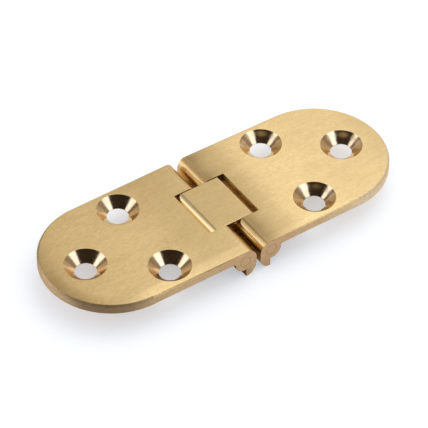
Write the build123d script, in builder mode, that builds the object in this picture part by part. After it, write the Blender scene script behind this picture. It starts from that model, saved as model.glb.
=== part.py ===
from build123d import *
from math import atan2, degrees, hypot
import os

# Flush table hinge in solid brass, laid open flat and standing on its four lips.
# X runs along its length, Y along the two pins, Z up. All sizes are millimetres.
# The origin is on the ground, midway between the pins.

# Leaves
overall_length = 80.0
leaf_width = 30.0
leaf_thickness = 2.0
leaf_gap = 1.0  # between the rounded inner ends of the two leaves
edge_break = 0.15  # on the outline of each top face

# Pins, and the brass that is rounded about them
pin_d = 2.5
pin_depth = 2.5  # axis below the top face
top_edge_setback = 1.0  # from the pin's axis in to the edge of the flat top
barrel_wall = 1.05  # brass under the pin, below a leaf
root_fillet = 0.5  # between a barrel and the underside of its plate
pin_clearance = 0.04  # on the radius, where a pin turns in the link

# Lips below the barrels
lip_drop = 1.9  # toe below the barrel
lip_thickness = 2.4
lip_face = 1.4  # straight inner face below the pin's axis
toe_width = 0.5

# Link between the leaves
link_width = 12.6
side_clearance = 0.1  # on each side of the link
end_clearance = 0.15  # beyond each rounded end of the link

# Countersunk screw holes, two side by side and one near the round end of each leaf
screw_hole_d = 4.5
countersink_d = 8.8
hole_land = 0.1  # straight wall left under the countersink
inner_hole_x = 17.6
inner_hole_pitch = 19.0
outer_hole_x = 31.3

# Heights and places that follow from them
pin_r = pin_d / 2
barrel_r = pin_r + barrel_wall
knuckle_r = hypot(pin_depth, top_edge_setback)
top_z = pin_depth + barrel_r + lip_drop
pin_z = top_z - pin_depth
underside_z = top_z - leaf_thickness
inner_x = leaf_gap / 2
pin_x = inner_x + knuckle_r
lip_x = inner_x + lip_thickness
slot_end_x = pin_x + knuckle_r + end_clearance
slot_width = link_width + 2 * side_clearance
end_x = overall_length / 2
end_r = leaf_width / 2
countersink_slope = atan2((countersink_d - screw_hole_d) / 2, leaf_thickness - hole_land)

# Right leaf: the plate, its barrel and its lip are one piece
with BuildPart() as right_leaf:
    with BuildSketch(Plane.XY.offset(underside_z)) as plate_outline:
        with Locations((pin_x, 0)):
            Rectangle(end_x - end_r - pin_x, leaf_width, align=(Align.MIN, Align.CENTER))
        with Locations((end_x - end_r, 0)):
            Circle(end_r)
    extrude(amount=leaf_thickness)

    with BuildSketch(Plane.XZ) as barrel_section:
        with Locations((pin_x, pin_z)):
            Circle(barrel_r)
        with BuildLine() as knuckle_outline:
            RadiusArc((pin_x - top_edge_setback, top_z), (inner_x, pin_z), -knuckle_r)
            Polyline(
                (inner_x, pin_z),
                (pin_x, pin_z),
                (pin_x, top_z),
                (pin_x - top_edge_setback, top_z),
            )
        make_face()
        with BuildLine() as lip_outline:
            Line((inner_x, pin_z), (inner_x, pin_z - lip_face))
            TangentArc((inner_x, pin_z - lip_face), (lip_x - toe_width, 0), tangent=(0, -1))
            Polyline((lip_x - toe_width, 0), (lip_x, 0), (lip_x, pin_z), (inner_x, pin_z))
        make_face()
    extrude(amount=leaf_width / 2, both=True)

    barrel_roots = right_leaf.edges().filter_by(Axis.Y).filter_by_position(
        Axis.Z, underside_z, underside_z
    )
    fillet(barrel_roots, radius=root_fillet)
    split(bisect_by=Plane.XY.offset(top_z), keep=Keep.BOTTOM)
    top_outline = right_leaf.faces().sort_by(Axis.Z)[-1].edges()
    chamfer(top_outline - top_outline.group_by(Axis.X)[0], length=edge_break)

    with BuildSketch(Plane.XY) as slot_for_link:
        Rectangle(slot_end_x, slot_width, align=(Align.MIN, Align.CENTER))
    extrude(amount=top_z, mode=Mode.SUBTRACT)

    with BuildSketch(Plane.XZ) as pin_hole:
        with Locations((pin_x, pin_z)):
            Circle(pin_r)
    extrude(amount=leaf_width / 2, both=True, mode=Mode.SUBTRACT)

    with Locations(Plane.XY.offset(top_z)):
        with Locations(
            (inner_hole_x, -inner_hole_pitch / 2),
            (inner_hole_x, inner_hole_pitch / 2),
            (outer_hole_x, 0),
        ):
            CounterSinkHole(
                radius=screw_hole_d / 2,
                counter_sink_radius=countersink_d / 2,
                counter_sink_angle=2 * degrees(countersink_slope),
            )

# Left leaf: the same piece the other way round
with BuildPart() as left_leaf:
    mirror(right_leaf.part, about=Plane.YZ)

# Link: fills the slots between the leaves and turns on both pins
with BuildPart() as link:
    with BuildSketch(Plane.XZ) as link_section:
        with Locations((0, pin_z)):
            SlotCenterToCenter(2 * pin_x, 2 * knuckle_r)
            with Locations((-pin_x, 0), (pin_x, 0)):
                Circle(pin_r + pin_clearance, mode=Mode.SUBTRACT)
    extrude(amount=link_width / 2, both=True)
    split(bisect_by=Plane.XY.offset(top_z), keep=Keep.BOTTOM)
    chamfer(link.faces().sort_by(Axis.Z)[-1].edges().filter_by(Axis.X), length=edge_break)

# Pins: pressed into the leaves, with their ends flush with the leaves' sides
with BuildPart() as right_pin:
    with BuildSketch(Plane.XZ) as pin_section:
        with Locations((pin_x, pin_z)):
            Circle(pin_r)
    extrude(amount=leaf_width / 2, both=True)

with BuildPart() as left_pin:
    mirror(right_pin.part, about=Plane.YZ)

right_leaf.part.label = "right_leaf"
left_leaf.part.label = "left_leaf"
link.part.label = "link"
right_pin.part.label = "right_pin"
left_pin.part.label = "left_pin"

os.makedirs("parts", exist_ok=True)
for piece in (right_leaf, left_leaf, link, right_pin, left_pin):
    export_step(piece.part, f"parts/{piece.part.label}.step")
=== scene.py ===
from math import cos, hypot, pi, radians, sin

import bmesh
import bpy
from mathutils import Matrix, Vector


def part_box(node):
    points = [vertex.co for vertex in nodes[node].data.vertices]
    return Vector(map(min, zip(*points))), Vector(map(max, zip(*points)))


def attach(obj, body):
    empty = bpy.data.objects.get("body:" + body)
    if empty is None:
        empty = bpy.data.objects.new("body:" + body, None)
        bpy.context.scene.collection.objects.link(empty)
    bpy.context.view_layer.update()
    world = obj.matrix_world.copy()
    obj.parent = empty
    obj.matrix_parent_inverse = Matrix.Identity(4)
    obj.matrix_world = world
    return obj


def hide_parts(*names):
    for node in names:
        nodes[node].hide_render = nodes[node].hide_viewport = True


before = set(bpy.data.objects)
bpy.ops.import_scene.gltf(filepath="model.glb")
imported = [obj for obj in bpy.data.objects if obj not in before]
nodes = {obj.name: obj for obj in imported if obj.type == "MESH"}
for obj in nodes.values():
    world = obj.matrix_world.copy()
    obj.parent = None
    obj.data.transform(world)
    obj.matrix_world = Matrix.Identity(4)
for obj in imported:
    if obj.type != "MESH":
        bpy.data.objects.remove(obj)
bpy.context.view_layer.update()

MM = 0.001

# Places read from the frame
leaf_low, leaf_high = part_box("right_leaf")
pin_low, pin_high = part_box("right_pin")
ground_z = leaf_low.z
top_z = leaf_high.z
side_y = leaf_high.y
outer_x = leaf_high.x
pin_x = (pin_low.x + pin_high.x) / 2
pin_z = (pin_low.z + pin_high.z) / 2
pin_r = (pin_high.z - pin_low.z) / 2
link_end_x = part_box("link")[1].x

# Places and edges of the leaves that the frame doesn't name
flat_end_x = pin_x - 1.0 * MM  # here the flat of a top turns into its rounded inner end
straight_end_x = outer_x - side_y  # here the straight sides turn into the round end
edge_break = 0.15 * MM  # chamfer on the solids' top outline
edge_round = 0.4 * MM  # the rolled edge that takes its place around the round ends
edge_ease = 0.04 * MM  # on all other sharp edges but the countersinks' rims
sharp_turn = radians(18)  # an edge that turns more than this is sharp
near = 0.01 * MM  # as good as the same place

# Camera, at the angle of the reference picture
camera_azimuth = radians(-34.93)
camera_elevation = radians(44.35)
camera_distance = 541.7 * MM
camera_roll = radians(0.87)
camera_aim = Vector((-2.19 * MM, -2.35 * MM, top_z))
lens_mm = 226.5

tent_radius = 450 * MM
floor_half = 2.0

# Colours of brass
pale_brass = (0.93, 0.72, 0.395, 1)
deep_brass = (0.76, 0.56, 0.27, 1)
# the dark end of the painted reflection and shade along the tops
painted_dark_brass = (0.42, 0.295, 0.14, 1)
sawn_brass = (0.82, 0.60, 0.38, 1)
dull_brass = (0.62, 0.47, 0.27, 1)
# painted shade where the tops turn into their rounded inner ends
inner_shade_brass = (0.52, 0.36, 0.22, 1)
shaded_brass = (0.36, 0.28, 0.15, 1)


def direction(azimuth, elevation):
    """A unit vector away from the hinge. Azimuth 0 is its near long side."""
    return Vector((
        sin(azimuth) * cos(elevation),
        -cos(azimuth) * cos(elevation),
        sin(elevation),
    ))


def facing(azimuth, elevation, distance, middle=Vector((0, 0, 0))):
    """The place of a thing that looks back at the hinge from there."""
    away = direction(azimuth, elevation)
    turn = away.to_track_quat("Z", "Y").to_matrix().to_4x4()
    return Matrix.Translation(middle + away * distance) @ turn


def make_camera():
    data = bpy.data.cameras.new("camera")
    data.lens = lens_mm
    data.clip_start = 10 * MM
    camera = bpy.data.objects.new("camera", data)
    bpy.context.scene.collection.objects.link(camera)
    place = facing(camera_azimuth, camera_elevation, camera_distance, camera_aim)
    camera.matrix_world = place @ Matrix.Rotation(camera_roll, 4, "Z")
    bpy.context.scene.camera = camera


def new_piece(name, bm, *materials):
    mesh = bpy.data.meshes.new(name)
    bm.to_mesh(mesh)
    bm.free()
    piece = bpy.data.objects.new(name, mesh)
    bpy.context.scene.collection.objects.link(piece)
    for material in materials:
        mesh.materials.append(material)
    return piece


# Shader trees
def new_tree(name):
    material = bpy.data.materials.new(name)
    material.use_nodes = True
    material.node_tree.nodes.clear()
    return material, material.node_tree


def add(tree, kind, **settings):
    """A node with its settings. A socket's name has _ for each space."""
    node = tree.nodes.new(kind)
    for key, value in settings.items():
        if hasattr(node, key):
            setattr(node, key, value)
        else:
            node.inputs[key.replace("_", " ")].default_value = value
    return node


def link(tree, *pairs):
    for source, target in pairs:
        tree.links.new(source, target)


def give(tree, value, target):
    """Sets a socket to a value, or links it to another socket."""
    if isinstance(value, (tuple, int, float)):
        target.default_value = value
    else:
        tree.links.new(value, target)


def math(tree, operation, *values):
    """A Math node fed with sockets or numbers."""
    node = add(tree, "ShaderNodeMath", operation=operation)
    for place, value in enumerate(values):
        give(tree, value, node.inputs[place])
    return node.outputs[0]


def total(tree, first, *others):
    for other in others:
        first = math(tree, "ADD", first, other)
    return first


def product(tree, first, *others):
    for other in others:
        first = math(tree, "MULTIPLY", first, other)
    return first


def ramp(tree, value, start, end, low=0.0, high=1.0):
    """A smooth step of value: low up to start, high from end on."""
    node = add(
        tree, "ShaderNodeMapRange", interpolation_type="SMOOTHSTEP",
        From_Min=start, From_Max=end, To_Min=low, To_Max=high,
    )
    tree.links.new(value, node.inputs["Value"])
    return node.outputs["Result"]


def line_through(tree, value, reach, places):
    """A smooth line over value. Each place is a distance in millimetres, up to reach, and a
    height of 0 to 1."""
    node = add(tree, "ShaderNodeValToRGB")
    line = node.color_ramp
    line.interpolation = "B_SPLINE"
    line.elements.remove(line.elements[1])
    line.elements[0].position = places[0][0] / reach
    line.elements[0].color = (places[0][1], places[0][1], places[0][1], 1)
    for distance, height in places[1:]:
        line.elements.new(distance / reach).color = (height, height, height, 1)
    tree.links.new(math(tree, "DIVIDE", value, reach * MM), node.inputs["Fac"])
    return node.outputs["Color"]


def noise(tree, place, scale, detail=2.0, offset=(0, 0, 0), turn=(0, 0, 0)):
    """Noise with its own number of grains per metre along each axis."""
    mapping = add(tree, "ShaderNodeMapping", Location=offset, Rotation=turn, Scale=scale)
    grain = add(tree, "ShaderNodeTexNoise", Scale=1.0, Detail=detail, Roughness=0.55)
    link(tree, (place, mapping.inputs["Vector"]), (mapping.outputs[0], grain.inputs["Vector"]))
    return grain.outputs["Fac"]


def mix_color(tree, factor, first, second):
    """A colour between two, each a colour or a socket."""
    node = add(tree, "ShaderNodeMix", data_type="RGBA")
    for place, value in ((0, factor), (6, first), (7, second)):
        give(tree, value, node.inputs[place])
    return node.outputs[2]


def place_on_piece(tree):
    """The place of a point, whole and then as X, Y and Z."""
    place = add(tree, "ShaderNodeTexCoord").outputs["Object"]
    split = add(tree, "ShaderNodeSeparateXYZ")
    link(tree, (place, split.inputs[0]))
    return place, split.outputs["X"], split.outputs["Y"], split.outputs["Z"]


# Studio
def background_ray(tree):
    """1 for rays that show the background: straight on, in polished brass, or through glass."""
    path = add(tree, "ShaderNodeLightPath")
    seen = math(tree, "MAXIMUM", path.outputs["Is Camera Ray"], path.outputs["Is Glossy Ray"])
    return math(tree, "MAXIMUM", seen, path.outputs["Is Transmission Ray"])


def make_world():
    """A pale sky that fills the shadows, and shows as white."""
    world = bpy.data.worlds.new("studio")
    world.use_nodes = True
    tree = world.node_tree
    tree.nodes.clear()
    fill = add(tree, "ShaderNodeBackground", Color=(0.97, 0.98, 1.0, 1), Strength=0.9)
    white = add(tree, "ShaderNodeBackground", Color=(1, 1, 1, 1), Strength=1.0)
    mix = add(tree, "ShaderNodeMixShader")
    out = add(tree, "ShaderNodeOutputWorld")
    link(
        tree,
        (background_ray(tree), mix.inputs[0]),
        (fill.outputs[0], mix.inputs[1]),
        (white.outputs[0], mix.inputs[2]),
        (mix.outputs[0], out.inputs["Surface"]),
    )
    bpy.context.scene.world = world


def make_lamp(name, azimuth, elevation, distance, size, radiance):
    """A softbox that lights the hinge and the floor. The brass doesn't mirror it."""
    data = bpy.data.lights.new(name, "AREA")
    data.shape = "RECTANGLE"
    data.size, data.size_y = size
    data.energy = radiance * pi * size[0] * size[1]
    lamp = bpy.data.objects.new(name, data)
    bpy.context.scene.collection.objects.link(lamp)
    lamp.matrix_world = facing(azimuth, elevation, distance)
    lamp.visible_glossy = False


def panel(tree, under, around, height, middle, half, soft, color):
    """Lays a panel over what is under it. Middle and half sizes are degrees around and up."""
    edges = []
    for value, centre, reach in zip((around, height), middle, half):
        off = math(tree, "ABSOLUTE", math(tree, "SUBTRACT", value, centre))
        edges.append(ramp(tree, off, reach + soft, reach - soft))
    return mix_color(tree, product(tree, *edges), under, (*color, 1))


def make_tent():
    """A round tent that only the brass sees: its walls, and the panels that hang on them."""
    material, tree = new_tree("tent_cloth")
    place = add(tree, "ShaderNodeTexCoord").outputs["Object"]
    turned = add(tree, "ShaderNodeMapping", Rotation=(0, 0, -camera_azimuth))
    split = add(tree, "ShaderNodeSeparateXYZ")
    link(tree, (place, turned.inputs["Vector"]), (turned.outputs[0], split.inputs[0]))
    x, y, z = split.outputs
    # degrees around from the camera's side, positive to the right, and the same from straight behind
    around = math(tree, "DEGREES", math(tree, "ARCTAN2", x, product(tree, y, -1.0)))
    behind = math(tree, "DEGREES", math(tree, "ARCTAN2", x, y))
    height = math(tree, "DEGREES", math(tree, "ARCSINE", math(tree, "DIVIDE", z, tent_radius)))
    low_wall = (0.46, 0.37, 0.23, 1)
    high_wall = (0.70, 0.655, 0.57, 1)
    roof = (0.34, 0.24, 0.12, 1)
    color = mix_color(tree, ramp(tree, height, 20.0, 34.0), low_wall, high_wall)
    color = mix_color(tree, ramp(tree, height, 56.0, 64.0), color, roof)
    # where each panel hangs, its half size, how soft its edge is, and its colour
    panels = (
        # bright ones behind and high up, and a grey one low down
        (behind, (28, 42), (26.5, 22), 2.0, (1.3, 1.3, 1.27)),
        (around, (112, 68), (56, 16), 4.0, (1.3, 1.3, 1.27)),
        (around, (158, 6), (20, 12), 4.0, (0.76, 0.72, 0.66)),
        # the dark side that the camera looks from
        (around, (-12, 37), (66, 26), 3.0, (0.028, 0.020, 0.013)),
        # dim ones at the left and the right
        (around, (-118, 48), (16, 9), 4.0, (0.36, 0.31, 0.22)),
        (around, (-104, 26), (14, 11), 5.0, (0.16, 0.13, 0.09)),
        (around, (104, 26), (14, 11), 5.0, (0.29, 0.235, 0.165)),
        # the softboxes at the left and the right
        (around, (-87.5, 21), (13.5, 25), 1.5, (1.4, 1.4, 1.4)),
        (around, (71, 41), (18, 13), 2.0, (1.5, 1.5, 1.55)),
    )
    for compass, middle, half, soft, shade in panels:
        color = panel(tree, color, compass, height, middle, half, soft, shade)
    glow = add(tree, "ShaderNodeEmission", Strength=1.0)
    out = add(tree, "ShaderNodeOutputMaterial")
    link(tree, (color, glow.inputs["Color"]), (glow.outputs[0], out.inputs["Surface"]))
    bm = bmesh.new()
    bmesh.ops.create_uvsphere(bm, u_segments=96, v_segments=48, radius=tent_radius)
    bmesh.ops.reverse_faces(bm, faces=bm.faces)
    tent = new_piece("tent", bm, material)
    tent.visible_camera = False
    tent.visible_diffuse = False
    tent.visible_transmission = False
    tent.visible_shadow = False


def make_floor():
    """Pale paper. To the camera it is lifted to white where no shadow falls on it."""
    material, tree = new_tree("pale_floor")
    path = add(tree, "ShaderNodeLightPath")
    paper = add(tree, "ShaderNodeBsdfDiffuse", Color=(0.85, 0.85, 0.85, 1))
    shade = add(tree, "ShaderNodeBsdfDiffuse", Color=(0.63, 0.63, 0.63, 1))
    lift = add(tree, "ShaderNodeEmission", Color=(0.375, 0.405, 0.44, 1), Strength=1.0)
    both = add(tree, "ShaderNodeAddShader")
    mix = add(tree, "ShaderNodeMixShader")
    out = add(tree, "ShaderNodeOutputMaterial")
    link(
        tree,
        (shade.outputs[0], both.inputs[0]),
        (lift.outputs[0], both.inputs[1]),
        (path.outputs["Is Camera Ray"], mix.inputs[0]),
        (paper.outputs[0], mix.inputs[1]),
        (both.outputs[0], mix.inputs[2]),
        (mix.outputs[0], out.inputs["Surface"]),
    )
    bm = bmesh.new()
    bmesh.ops.create_grid(bm, x_segments=1, y_segments=1, size=floor_half)
    bmesh.ops.translate(bm, verts=bm.verts, vec=(0, 0, ground_z))
    new_piece("floor", bm, material)


# Brass finishes
def metal(tree, color, roughness, bump, anisotropy=0.0):
    """Bare brass. Its colour and roughness are sockets or values."""
    shader = add(tree, "ShaderNodeBsdfPrincipled", Metallic=1.0, Anisotropic=anisotropy)
    shader.inputs["Specular Tint"].default_value = (0.9, 0.75, 0.52, 1)
    out = add(tree, "ShaderNodeOutputMaterial")
    give(tree, color, shader.inputs["Base Color"])
    give(tree, roughness, shader.inputs["Roughness"])
    give(tree, bump, shader.inputs["Normal"])
    if anisotropy:
        tangent = add(tree, "ShaderNodeTangent", direction_type="UV_MAP", uv_map="brushing")
        give(tree, tangent.outputs[0], shader.inputs["Tangent"])
    link(tree, (shader.outputs[0], out.inputs["Surface"]))


def relief(tree, height, depth):
    """A bump from a height of 0 to 1 that stands for a depth in metres."""
    bump = add(tree, "ShaderNodeBump", Strength=1.0, Distance=depth)
    tree.links.new(height, bump.inputs["Height"])
    return bump.outputs[0]


def edge_distance(tree, x, y):
    """How far a point lies inside the round-ended outline of the leaves."""
    beyond = math(tree, "SUBTRACT", math(tree, "ABSOLUTE", x), straight_end_x)
    beyond = math(tree, "MAXIMUM", beyond, 0.0)
    across = add(tree, "ShaderNodeCombineXYZ")
    link(tree, (beyond, across.inputs["X"]), (y, across.inputs["Y"]))
    length = add(tree, "ShaderNodeVectorMath", operation="LENGTH")
    link(tree, (across.outputs[0], length.inputs[0]))
    return math(tree, "SUBTRACT", side_y, length.outputs["Value"])


def rolled_down(tree, value, start, width, depth, power):
    """How far the brushing takes the top down, in metres, from start to its edge. Start, width
    and depth are millimetres."""
    share = add(tree, "ShaderNodeMapRange", From_Min=start * MM, From_Max=(start - width) * MM)
    tree.links.new(value, share.inputs["Value"])
    return product(tree, math(tree, "POWER", share.outputs["Result"], power), -depth * MM)


def brushed_finish(name, seed, painted_brightness, outline_roll, inner_roll):
    """The satin tops: fine brush lines along the length, rolled down by the brushing along the
    outline and towards the inner end. The tones say how bright the brass is painted at millimetres
    out from the middle: painted reflection and shade, partly duller brass. Each roll is a width
    and a depth in millimetres."""
    material, tree = new_tree(name)
    place, x, y, z = place_on_piece(tree)
    offset = (seed, seed * 0.7, 0)
    lines = noise(tree, place, (750, 3900, 750), 2.0, offset)
    scratches = noise(tree, place, (1500, 5200, 1500), 3.0, offset, (0, 0, radians(8)))
    clouds = noise(tree, place, (60, 170, 60), 3.0, offset)
    mottle = noise(tree, place, (1100, 1900, 1100), 2.0, offset)
    streaks = noise(tree, place, (200, 1000, 200), 2.0, offset, (0, 0, radians(-4)))
    specks = noise(tree, place, (900, 900, 900), 3.0, offset)
    grain = total(tree, product(tree, lines, 0.5), product(tree, scratches, 0.5))
    inside = edge_distance(tree, x, y)
    outward = math(tree, "ABSOLUTE", x)

    # the rolls fade towards the far side and the round end
    outline_width, outline_depth = outline_roll
    inner_width, inner_depth = inner_roll
    rolled = product(
        tree,
        rolled_down(tree, inside, outline_width, outline_width, outline_depth, 1.5),
        ramp(tree, y, -2 * MM, 4 * MM, 1.0, 0.2),
        ramp(tree, outward, 27 * MM, 36 * MM, 1.0, 0.5),
    )
    inner = rolled_down(tree, outward, flat_end_x / MM + inner_width, inner_width, inner_depth, 2.0)
    height = total(tree, product(tree, grain, 2e-6), rolled, inner)

    # brushing of four sizes, on a brass that is darker in places at random
    tone = total(
        tree,
        ramp(tree, clouds, 0.3, 0.7, 0.0, 0.12),
        ramp(tree, streaks, 0.35, 0.65, 0.0, 0.20),
        ramp(tree, mottle, 0.35, 0.65, 0.0, 0.30),
        ramp(tree, grain, 0.38, 0.62, 0.0, 0.38),
    )
    color = mix_color(tree, tone, deep_brass, pale_brass)
    # painted reflection and shade along the length, partly duller brass, from the tones
    wavy = total(tree, outward, product(tree, clouds, 5 * MM), -2.5 * MM)
    color = mix_color(tree, line_through(tree, wavy, 42, painted_brightness), painted_dark_brass, color)

    # specks near the outline, painted shade as a dark line along its far side, and painted shade as a dark
    # line at a rolled inner end
    speckled = product(
        tree,
        ramp(tree, specks, 0.60, 0.72),
        ramp(tree, inside, 4 * MM, 0.5 * MM, 0.0, 0.55),
    )
    color = mix_color(tree, speckled, color, dull_brass)
    far_edge_shade = product(
        tree,
        ramp(tree, inside, 0.45 * MM, 0.1 * MM, 0.0, 0.8),
        ramp(tree, y, 0.0, 4 * MM),
    )
    color = mix_color(tree, far_edge_shade, color, shaded_brass)
    # painted shade: a dark line where the top turns into its rounded inner end
    tinge = 0.6 if inner_depth else 0.0
    inner_edge = ramp(tree, outward, flat_end_x + 0.4 * MM, flat_end_x + 0.1 * MM, 0.0, tinge)
    color = mix_color(tree, inner_edge, color, inner_shade_brass)

    metal(tree, color, ramp(tree, clouds, 0.3, 0.7, 0.24, 0.30), relief(tree, height, 1.0), 0.85)
    return material


def turned_finish(name, rim_depth):
    """Countersinks: bright from the cutter, with its fine rings. rim_depth is how far, in
    millimetres, the brushing has rolled their rims down."""
    material, tree = new_tree(name)
    place, x, y, z = place_on_piece(tree)
    rings = noise(tree, place, (0, 0, 9000), 2.0)
    stain_and_shade = noise(tree, place, (700, 700, 300), 2.0)
    color = mix_color(tree, ramp(tree, stain_and_shade, 0.35, 0.7), (0.88, 0.72, 0.53, 1), (0.80, 0.62, 0.42, 1))
    roughness = ramp(tree, rings, 0.3, 0.7, 0.12, 0.19)
    rim = ramp(tree, z, top_z - 1.2 * MM, top_z, 0.0, -rim_depth * MM)
    height = total(tree, product(tree, rings, 6e-7), rim)
    metal(tree, color, roughness, relief(tree, height, 1.0))
    return material


def rolled_finish(name, deep, pale, line, roughness, depth):
    """Rounded ends, and the slot's end and the pins beside them: smooth, with lines along the
    pins."""
    material, tree = new_tree(name)
    place, x, y, z = place_on_piece(tree)
    lines = noise(tree, place, (2600, 60, 2600), 3.0)
    tinge = mix_color(tree, ramp(tree, lines, 0.35, 0.6), deep, pale)
    color = mix_color(tree, ramp(tree, lines, 0.56, 0.66, 0.0, 0.7), tinge, line)
    shine = ramp(tree, lines, 0.3, 0.7, roughness - 0.05, roughness + 0.05)
    metal(tree, color, shine, relief(tree, lines, depth))
    return material


def milled_finish(name):
    """The end of the slot in the right leaf: painted shade, darker than the other cut faces, with the steps
    of the mill.
    """
    material, tree = new_tree(name)
    place, x, y, z = place_on_piece(tree)
    steps = noise(tree, place, (3000, 400, 3000), 2.0)
    color = mix_color(tree, ramp(tree, steps, 0.35, 0.65), (0.62, 0.45, 0.20, 1), (0.92, 0.70, 0.38, 1))
    metal(tree, color, 0.5, relief(tree, steps, 3e-6))
    return material


def cut_finish(name, roughness, stain_and_shade):
    """Edges and ends: sawn and dressed, pinker by the barrels, with painted shade around the left round
    end and painted light around the right one."""
    material, tree = new_tree(name)
    place, x, y, z = place_on_piece(tree)
    pits = noise(tree, place, (3500, 3500, 3500), 3.0)
    by_barrel = ramp(tree, math(tree, "ABSOLUTE", x), 12 * MM, 6 * MM)
    base = mix_color(tree, by_barrel, (0.84, 0.65, 0.42, 1), sawn_brass)
    # painted light: paler towards the right round end
    base = mix_color(tree, ramp(tree, x, 14 * MM, 26 * MM), base, (0.97, 0.84, 0.63, 1))
    color = mix_color(tree, ramp(tree, pits, 0.35, 0.65, 0.0, 0.35), base, dull_brass)
    # how lit up the brass is at millimetres in from the left end; the painted shade there keeps to the rim
    from_left = total(tree, x, outer_x)
    brightness_at = ((0, 0.9), (1, 0.8), (2.5, 0.1), (9, 0.12), (13, 0.6), (19, 1.0))
    at_rim = ramp(tree, edge_distance(tree, x, y), 0.8 * MM, 0.5 * MM)
    lit_up = math(
        tree, "MAXIMUM",
        line_through(tree, from_left, 80, brightness_at),
        math(tree, "SUBTRACT", 1.0, at_rim),
    )
    # painted shade around the left round end, in the last colour given
    color = mix_color(tree, lit_up, stain_and_shade, color)
    shine = ramp(tree, pits, 0.3, 0.7, roughness - 0.08, roughness + 0.08)
    metal(tree, color, shine, relief(tree, pits, 8e-6))
    return material


def pin_end_finish(name):
    """Ends of the pins: ground with the barrels, with a dark seam around them."""
    material, tree = new_tree(name)
    place, x, y, z = place_on_piece(tree)
    across = math(tree, "SUBTRACT", math(tree, "ABSOLUTE", x), pin_x)
    up = math(tree, "SUBTRACT", z, pin_z)
    radius = math(tree, "SQRT", total(tree, product(tree, across, across), product(tree, up, up)))
    pits = noise(tree, place, (3000, 3000, 3000), 3.0)
    color = mix_color(tree, ramp(tree, pits, 0.35, 0.65, 0.0, 0.35), sawn_brass, dull_brass)
    seam = ramp(tree, radius, pin_r - 0.16 * MM, pin_r - 0.03 * MM, 0.0, 0.75)
    color = mix_color(tree, seam, color, (0.30, 0.21, 0.12, 1))
    metal(tree, color, ramp(tree, pits, 0.3, 0.7, 0.62, 0.78), relief(tree, pits, 8e-6))
    return material


def recess_shade_finish(name):
    """Under the barrels and along the slot's sides: painted shade, a dull dark brown."""
    material, tree = new_tree(name)
    place, x, y, z = place_on_piece(tree)
    stain_and_shade = noise(tree, place, (600, 120, 600), 2.0)
    color = mix_color(tree, ramp(tree, stain_and_shade, 0.3, 0.7), (0.20, 0.105, 0.045, 1), (0.33, 0.19, 0.085, 1))
    metal(tree, color, 0.45, relief(tree, stain_and_shade, 2e-6))
    return material


# Which finish each face gets, as places in the leaves' list of materials. The link uses the first four.
TOP, CONE, ROUND, CUT, MILLED, PAINTED_SHADE, EDGE, PAINTED_LIGHT = range(8)


def is_cone(face):
    """Whether a face is the wall of a countersink."""
    return 0.5 < face.normal.z < 0.95 and face.calc_center_median().z < top_z - 0.1 * MM


def inside_outline(place):
    """How far a place lies inside the round-ended outline of the leaves."""
    return side_y - hypot(max(abs(place.x) - straight_end_x, 0.0), place.y)


def leaf_finish(face):
    n = face.normal
    middle = face.calc_center_median()
    # the top, and the narrow faces around its outline
    if n.z > 0.9 and middle.z > top_z - near:
        return TOP
    if n.z > 0.3 and middle.z > top_z - edge_round and inside_outline(middle) < edge_round:
        if abs(middle.x) > straight_end_x:
            return EDGE
        return TOP if abs(middle.x) > flat_end_x else CUT
    # the slot: its right end and its sides in painted shade, and its left end in painted light
    if n.x < -0.9 and middle.x > link_end_x:
        return MILLED
    if n.x > 0.9 and -side_y < middle.x < -link_end_x:
        return PAINTED_LIGHT
    if abs(n.y) > 0.9 and abs(middle.y) < side_y / 2:
        return PAINTED_SHADE
    # the inner end in the darker rolled copy, and what faces outwards below its pin in painted shade
    if abs(middle.x) < link_end_x and abs(n.y) < 0.1:
        outwards = n.x if middle.x > 0 else -n.x
        return PAINTED_SHADE if middle.z < pin_z and outwards > 0.1 else ROUND
    if abs(middle.x) > 10 * MM and is_cone(face):
        return CONE
    return CUT


def link_finish(face):
    n = face.normal
    if n.z > 0.9 and face.calc_center_median().z > top_z - near:
        return TOP
    if abs(n.y) > 0.9:
        return CUT
    return TOP if abs(n.y) > 0.1 else ROUND


def pin_finish(face):
    """The side of a pin is 0 and its ends are 1."""
    return 1 if abs(face.normal.y) > 0.9 else 0


def round_outline(bm):
    """Rounds the outline of a leaf's top over, more and more from the inner end outwards."""
    moved = set()
    for vert in bm.verts:
        if abs(vert.co.x) < straight_end_x - near:
            continue
        inside = inside_outline(vert.co)
        below = top_z - vert.co.z
        if below < near and abs(inside - edge_break) < near:
            beyond = max(abs(vert.co.x) - straight_end_x, 0.0)
            shift = (edge_round - edge_break) / (side_y - inside)
            vert.co.x -= beyond * shift * (1 if vert.co.x > 0 else -1)
            vert.co.y -= vert.co.y * shift
            moved.add(vert)
        elif abs(inside) < near and abs(below - edge_break) < near:
            vert.co.z = top_z - edge_round
            moved.add(vert)
    edges = [e for e in bm.edges if e.calc_face_angle(0) > sharp_turn and moved.intersection(e.verts)]
    bmesh.ops.bevel(
        bm, geom=edges, offset=0.16 * MM, offset_type="OFFSET", affect="EDGES",
        segments=3, profile=0.5, material=-1, clamp_overlap=True,
    )


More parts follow.
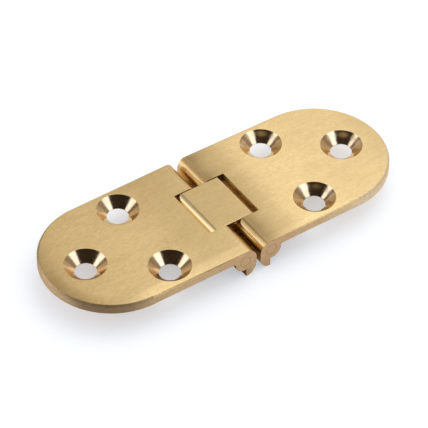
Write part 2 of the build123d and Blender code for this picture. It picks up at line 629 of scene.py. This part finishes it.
def finish(node, body, slot, choose, *materials):
    """A copy of a CAD node with its edges broken and each face in its own finish."""
    bm = bmesh.new()
    bm.from_mesh(nodes[node].data)
    bmesh.ops.remove_doubles(bm, verts=bm.verts, dist=0.001 * MM)
    bmesh.ops.dissolve_limit(bm, angle_limit=radians(0.1), verts=bm.verts, edges=bm.edges)
    if choose is leaf_finish:
        round_outline(bm)
        bm.normal_update()
    for face in bm.faces:
        face.smooth = True
        face.material_index = choose(face)
    sharp = [edge for edge in bm.edges if edge.calc_face_angle(0) > sharp_turn]
    for edge in sharp:
        edge.smooth = False
    sharp = [edge for edge in sharp if not any(is_cone(face) for face in edge.link_faces)]
    bmesh.ops.bevel(
        bm, geom=sharp, offset=edge_ease, offset_type="OFFSET", affect="EDGES",
        segments=2, profile=0.5, material=-1, clamp_overlap=True,
    )
    # the map's first direction runs across the brush lines
    brushing = bm.loops.layers.uv.new("brushing")
    for face in bm.faces:
        for corner in face.loops:
            corner[brushing].uv = (corner.vert.co.y / outer_x, corner.vert.co.x / outer_x)
    piece = new_piece(node + "_finish", bm, *materials)
    # the normals that came with the solid don't fit its broken edges
    if "custom_normal" in piece.data.attributes:
        piece.data.attributes.remove(piece.data.attributes["custom_normal"])
    piece.modifiers.new("even_normals", "WEIGHTED_NORMAL").keep_sharp = True
    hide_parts(node)
    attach(piece, body)


make_camera()
make_world()
make_floor()
make_tent()
make_lamp(
    "key_softbox", azimuth=radians(115), elevation=radians(62), distance=0.7, size=(0.6, 0.5), radiance=1.3,
)

left_turned = turned_finish("turned_left", 0.0)
right_turned = turned_finish("turned_right", 0.075)
# two copies of one rolled finish: a darker one that is painted shade, and a paler one that is painted light
shaded_copy = rolled_finish(
    "rolled_dark_copy", (0.66, 0.44, 0.19, 1), (0.85, 0.63, 0.32, 1), (0.36, 0.21, 0.09, 1), 0.26, 7e-6,
)
lit_up = rolled_finish(
    "rolled_bright_copy", (0.90, 0.73, 0.45, 1), (0.97, 0.82, 0.54, 1), (0.74, 0.56, 0.31, 1), 0.18, 5e-6,
)
# the last colour of each is the painted shade around the left round end
cut = cut_finish("cut_brass", 0.70, (0.30, 0.205, 0.115, 1))
rolled_edge = cut_finish("rounded_edge", 0.60, (0.50, 0.38, 0.22, 1))
pin_end = pin_end_finish("pin_end")
milled = milled_finish("milled_brass")
# painted shade: a dull dark brown under the barrels and along the slot's sides
shade_in_recesses = recess_shade_finish("recess_shade_brass")

# How bright the tops are painted at millimetres out from the middle: painted reflection and shade, partly
# duller brass
left_painted_tones = ((4, 0.62), (9, 0.60), (13, 0.70), (20, 1.0), (33, 1.0), (36, 0.85), (39, 0.37))
right_painted_tones = (
    (2.5, 0.0), (4, 0.27), (6, 0.56), (8, 0.63), (10, 0.82), (12, 1.0), (18, 1.0), (22, 0.86), (26, 0.74),
    (34, 0.71), (39, 0.45),
)
link_painted_tones = ((0, 0.52), (6, 0.52))
left_top = brushed_finish("brushed_left", 1.3, left_painted_tones, (2.8, 0.34), (0.9, 0.02))
right_top = brushed_finish("brushed_right", 5.1, right_painted_tones, (1.6, 0.10), (12, 0.25))
link_top = brushed_finish("brushed_link", 9.7, link_painted_tones, (1.0, 0.0), (1.0, 0.0))

finish(
    "left_leaf", "left_half", "brushed_brass", leaf_finish,
    left_top, left_turned, shaded_copy, cut, milled, shade_in_recesses, rolled_edge, lit_up,
)
finish(
    "right_leaf", "right_half", "brushed_brass", leaf_finish,
    right_top, right_turned, shaded_copy, cut, milled, shade_in_recesses, rolled_edge, lit_up,
)
# the link's rounded ends get the paler copy of the rolled finish, painted light, and its sides the darker
# copy, painted shade
finish("link", "middle", "brushed_brass", link_finish, link_top, left_turned, lit_up, shaded_copy)
finish("left_pin", "left_half", "pin_brass", pin_finish, shaded_copy, pin_end)
finish("right_pin", "right_half", "pin_brass", pin_finish, shaded_copy, pin_end)

bpy.context.scene.view_settings.view_transform = "Standard"
